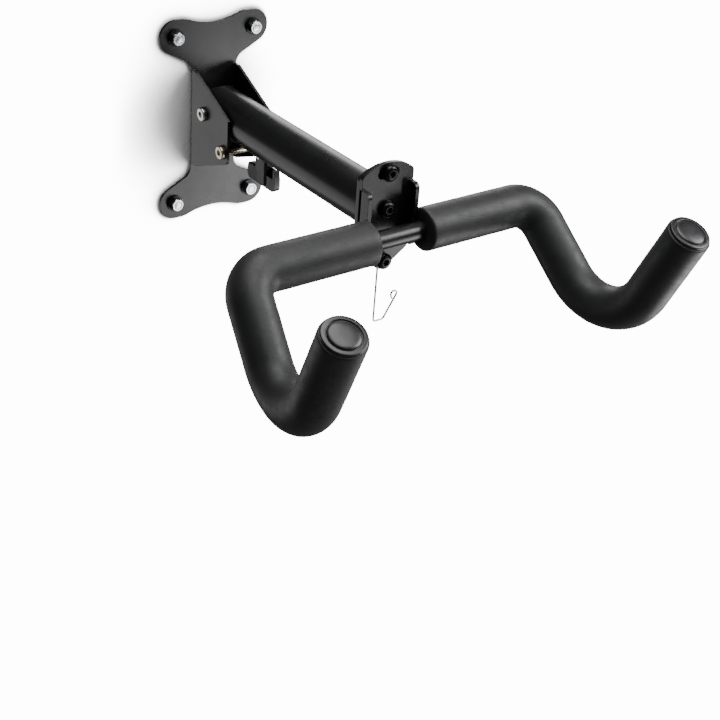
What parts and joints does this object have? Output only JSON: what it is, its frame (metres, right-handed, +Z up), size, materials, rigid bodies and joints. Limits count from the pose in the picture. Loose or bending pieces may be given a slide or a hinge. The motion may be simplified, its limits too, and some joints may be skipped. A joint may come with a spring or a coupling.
{
  "type": "bicycle wall rack",
  "caption": "Folding wall arm with foam-covered twin hooks that carry a bicycle by its top tube, a levelling head plate and a wire helmet hanger.",
  "frame": {"origin": "centre of the four wall screws, on the back face of the wall plate, which is the plane of the wall", "axes": "+X to the right of a person facing the wall, +Y into the wall so that the arm reaches out along -Y, +Z up"},
  "size_m": [0.374, 0.5126, 0.1952],
  "materials": {
    "black_paint": "satin black powder coat",
    "zinc": "bright zinc plate",
    "chrome": "bright nickel plate",
    "black_steel": "black oxide, lightly oiled",
    "black_plastic": "fine moulded texture",
    "foam": "closed-cell foam, matt skin",
    "spring_wire": "drawn spring wire"
  },
  "bodies": {
    "bracket": {"wall_plate": "black_paint", "wall_screws": "zinc", "wall_washers": "black_steel", "pivot_bolt": "chrome", "stop_bolt": "chrome", "bracket_washers": "zinc", "bracket_nuts": "zinc"},
    "arm": {"arm_tube": "black_paint", "pivot_bush": "zinc", "arm_end_plate": "black_paint", "arm_weld": "black_paint", "knob_nut": "zinc", "tilt_bolt": "black_steel", "slot_bolt": "black_steel", "head_washers": "black_steel", "tilt_nut": "black_steel"},
    "head": {"tilt_plate": "black_paint", "hook_rod": "black_paint", "rod_welds": "black_paint", "foam_left": "foam", "foam_right": "foam", "end_cap_left": "black_plastic", "end_cap_right": "black_plastic", "hanger_bolt": "black_steel", "hanger_washer": "black_steel", "hanger_nut": "black_steel"},
    "knob": {"wing_knob": "black_plastic", "knob_stud": "zinc"},
    "hanger": {"wire_hanger": "spring_wire"}
  },
  "joints": [
    {"name": "arm_fold", "type": "hinge", "parent": "bracket", "child": "arm", "pos_m": [0, -0.025, 0.0135], "axis": [-1, 0, 0], "range_deg": [0, 84]},
    {"name": "head_level", "type": "hinge", "parent": "arm", "child": "head", "pos_m": [0, -0.272, 0.015], "axis": [0, 1, 0], "range_deg": [-11, 11]},
    {"name": "knob_turn", "type": "hinge", "parent": "arm", "child": "knob", "pos_m": [0, -0.0922, -0.02], "axis": [0, 0, 1], "continuous": true},
    {"name": "hanger_swing", "type": "hinge", "parent": "head", "child": "hanger", "pos_m": [0, -0.2752, -0.0318], "axis": [0, 1, 0], "range_deg": [-60, 60]}
  ]
}
